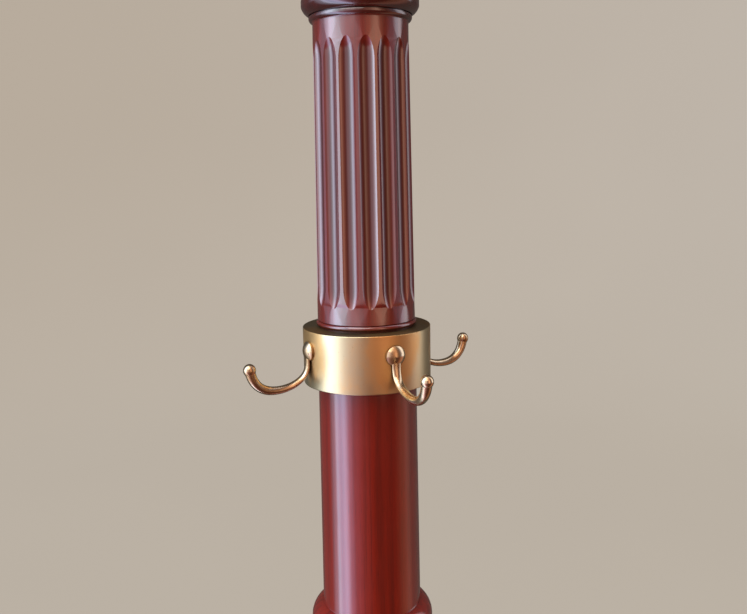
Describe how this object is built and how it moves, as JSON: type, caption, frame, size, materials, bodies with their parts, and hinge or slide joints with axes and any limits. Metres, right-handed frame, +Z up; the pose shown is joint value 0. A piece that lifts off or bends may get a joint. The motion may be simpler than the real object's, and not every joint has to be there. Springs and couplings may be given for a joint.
{
  "type": "flag pole stand",
  "caption": "Turned mahogany column stand on a weighted round plinth, with a brass coat-hook collar and a brass socket with clamp screw for a pole at the top.",
  "frame": {"origin": "on the floor, at the centre of the plinth, under the column's axis", "axes": "+Z up along the column; -Y is the front, where the clamp screw points; +X is to the right"},
  "size_m": [0.43, 0.43, 1.5],
  "materials": {
    "floor_pads": "dense grey-brown wool felt",
    "turned_wood": "French-polished red mahogany, glossy",
    "core_wood": "bare beech, inside the collar",
    "ballast": "cast iron with black paint",
    "steel": "plain steel",
    "collar_brass": "aged satin brass sheet",
    "hook_brass": "aged cast brass, handled bright",
    "socket_brass": "turned brass, satin",
    "leather": "tan leather disc",
    "clamp_pad": "brass pressure pad"
  },
  "bodies": {
    "stand": {"floor_pad_front_right": "floor_pads", "floor_pad_back_right": "floor_pads", "floor_pad_back_left": "floor_pads", "floor_pad_front_left": "floor_pads", "foot_front_right": "turned_wood", "foot_back_right": "turned_wood", "foot_back_left": "turned_wood", "foot_front_left": "turned_wood", "plinth_base": "turned_wood", "plinth_dome": "turned_wood", "lower_shaft": "turned_wood", "middle_column": "turned_wood", "fluted_column": "turned_wood", "capital": "turned_wood", "collar_core": "core_wood", "ballast_weight": "ballast", "tie_rod": "steel", "rod_lower_washer": "steel", "rod_lower_nut": "steel", "rod_upper_washer": "steel", "rod_upper_nut": "steel", "foot_bolts": "steel", "plinth_screws": "steel", "ballast_screws": "steel", "socket_floor": "steel", "collar_band": "collar_brass", "collar_lower_ring": "collar_brass", "hook_front": "hook_brass", "hook_right": "hook_brass", "hook_back": "hook_brass", "hook_left": "hook_brass", "socket_cap": "socket_brass", "socket_liner": "socket_brass", "cap_screws": "socket_brass", "clamp_bush": "socket_brass", "pole_rest_pad": "leather"},
    "clamp_screw": {"clamp_screw": "socket_brass", "clamp_knob": "socket_brass"},
    "clamp_pad": {"clamp_pad": "clamp_pad"}
  },
  "joints": [
    {"name": "clamp_pad_slide", "type": "slide", "parent": "stand", "child": "clamp_pad", "axis": [0, 1, 0], "range_m": [0, 0.0045]},
    {"name": "clamp_screw_turn", "type": "hinge", "parent": "clamp_pad", "child": "clamp_screw", "pos_m": [0, -0.04, 1.48], "axis": [0, 1, 0], "range_deg": [0, 1080]}
  ],
  "couplings": [
    {"joint": "clamp_screw_turn", "follows": "clamp_pad_slide", "rad_per_m": 4188.8}
  ]
}
